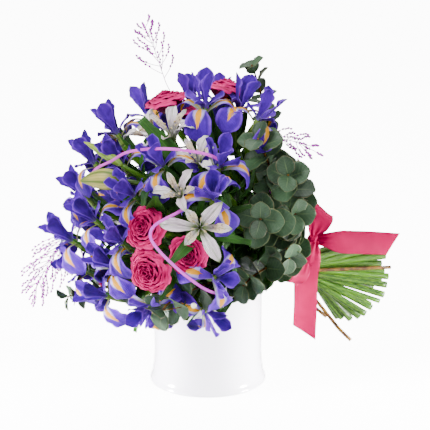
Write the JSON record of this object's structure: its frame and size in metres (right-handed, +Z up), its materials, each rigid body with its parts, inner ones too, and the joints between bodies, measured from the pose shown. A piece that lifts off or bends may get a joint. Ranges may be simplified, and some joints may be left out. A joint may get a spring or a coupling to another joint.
{
  "type": "irises in a vase",
  "caption": "Hand-tied bouquet of blue-violet irises with roses, alstroemerias and eucalyptus, bound with a satin ribbon and lying across the mouth of a round white vase.",
  "frame": {"origin": "middle of the vase's underside", "axes": "+Z up, +X towards the tied stems, -Y towards the front"},
  "size_m": [0.5764, 0.4241, 0.5431],
  "materials": {
    "vase": "glossy opaque white glaze",
    "ribbon": "hot-pink satin",
    "green_stems": "fresh green stems and leaves, pale at the cut ends",
    "iris_petals": "blue-violet petals, yellow signal with a white border",
    "rose_petals": "velvety deep pink petals with paler edges",
    "alstroemeria_petals": "white petals with green midribs and fine dark flecks",
    "buds": "waxy pale green buds with a pink tinge",
    "eucalyptus": "matt grey-green leaves with pale edges, red-brown stems",
    "dyed_grass": "dyed purple, dry and matt",
    "dyed_cane": "dyed pink, satin"
  },
  "bodies": {
    "root": {"vase": "vase", "ribbon": "ribbon", "stems_and_leaves": "green_stems", "iris_01": "iris_petals", "iris_02": "iris_petals", "iris_03": "iris_petals", "iris_04": "iris_petals", "iris_05": "iris_petals", "iris_06": "iris_petals", "iris_07": "iris_petals", "iris_08": "iris_petals", "iris_09": "iris_petals", "iris_10": "iris_petals", "iris_11": "iris_petals", "iris_12": "iris_petals", "iris_13": "iris_petals", "iris_14": "iris_petals", "iris_15": "iris_petals", "iris_16": "iris_petals", "iris_17": "iris_petals", "iris_18": "iris_petals", "iris_19": "iris_petals", "iris_20": "iris_petals", "iris_21": "iris_petals", "iris_22": "iris_petals", "iris_23": "iris_petals", "iris_24": "iris_petals", "iris_25": "iris_petals", "iris_26": "iris_petals", "rose_01": "rose_petals", "rose_02": "rose_petals", "rose_03": "rose_petals", "rose_04": "rose_petals", "rose_05": "rose_petals", "rose_06": "rose_petals", "rose_07": "rose_petals", "rose_08": "rose_petals", "alstroemeria_01": "alstroemeria_petals", "alstroemeria_02": "alstroemeria_petals", "alstroemeria_03": "alstroemeria_petals", "alstroemeria_04": "alstroemeria_petals", "alstroemeria_05": "alstroemeria_petals", "lily_bud": "buds", "slender_bud": "buds", "eucalyptus_01": "eucalyptus", "eucalyptus_02": "eucalyptus", "eucalyptus_03": "eucalyptus", "eucalyptus_04": "eucalyptus", "eucalyptus_05": "eucalyptus", "eucalyptus_06": "eucalyptus", "eucalyptus_07": "eucalyptus", "eucalyptus_08": "eucalyptus", "eucalyptus_09": "eucalyptus", "eucalyptus_10": "eucalyptus", "eucalyptus_11": "eucalyptus", "grass_top": "dyed_grass", "grass_left": "dyed_grass", "grass_right": "dyed_grass", "cane_upper": "dyed_cane", "cane_lower": "dyed_cane"}
  },
  "joints": []
}
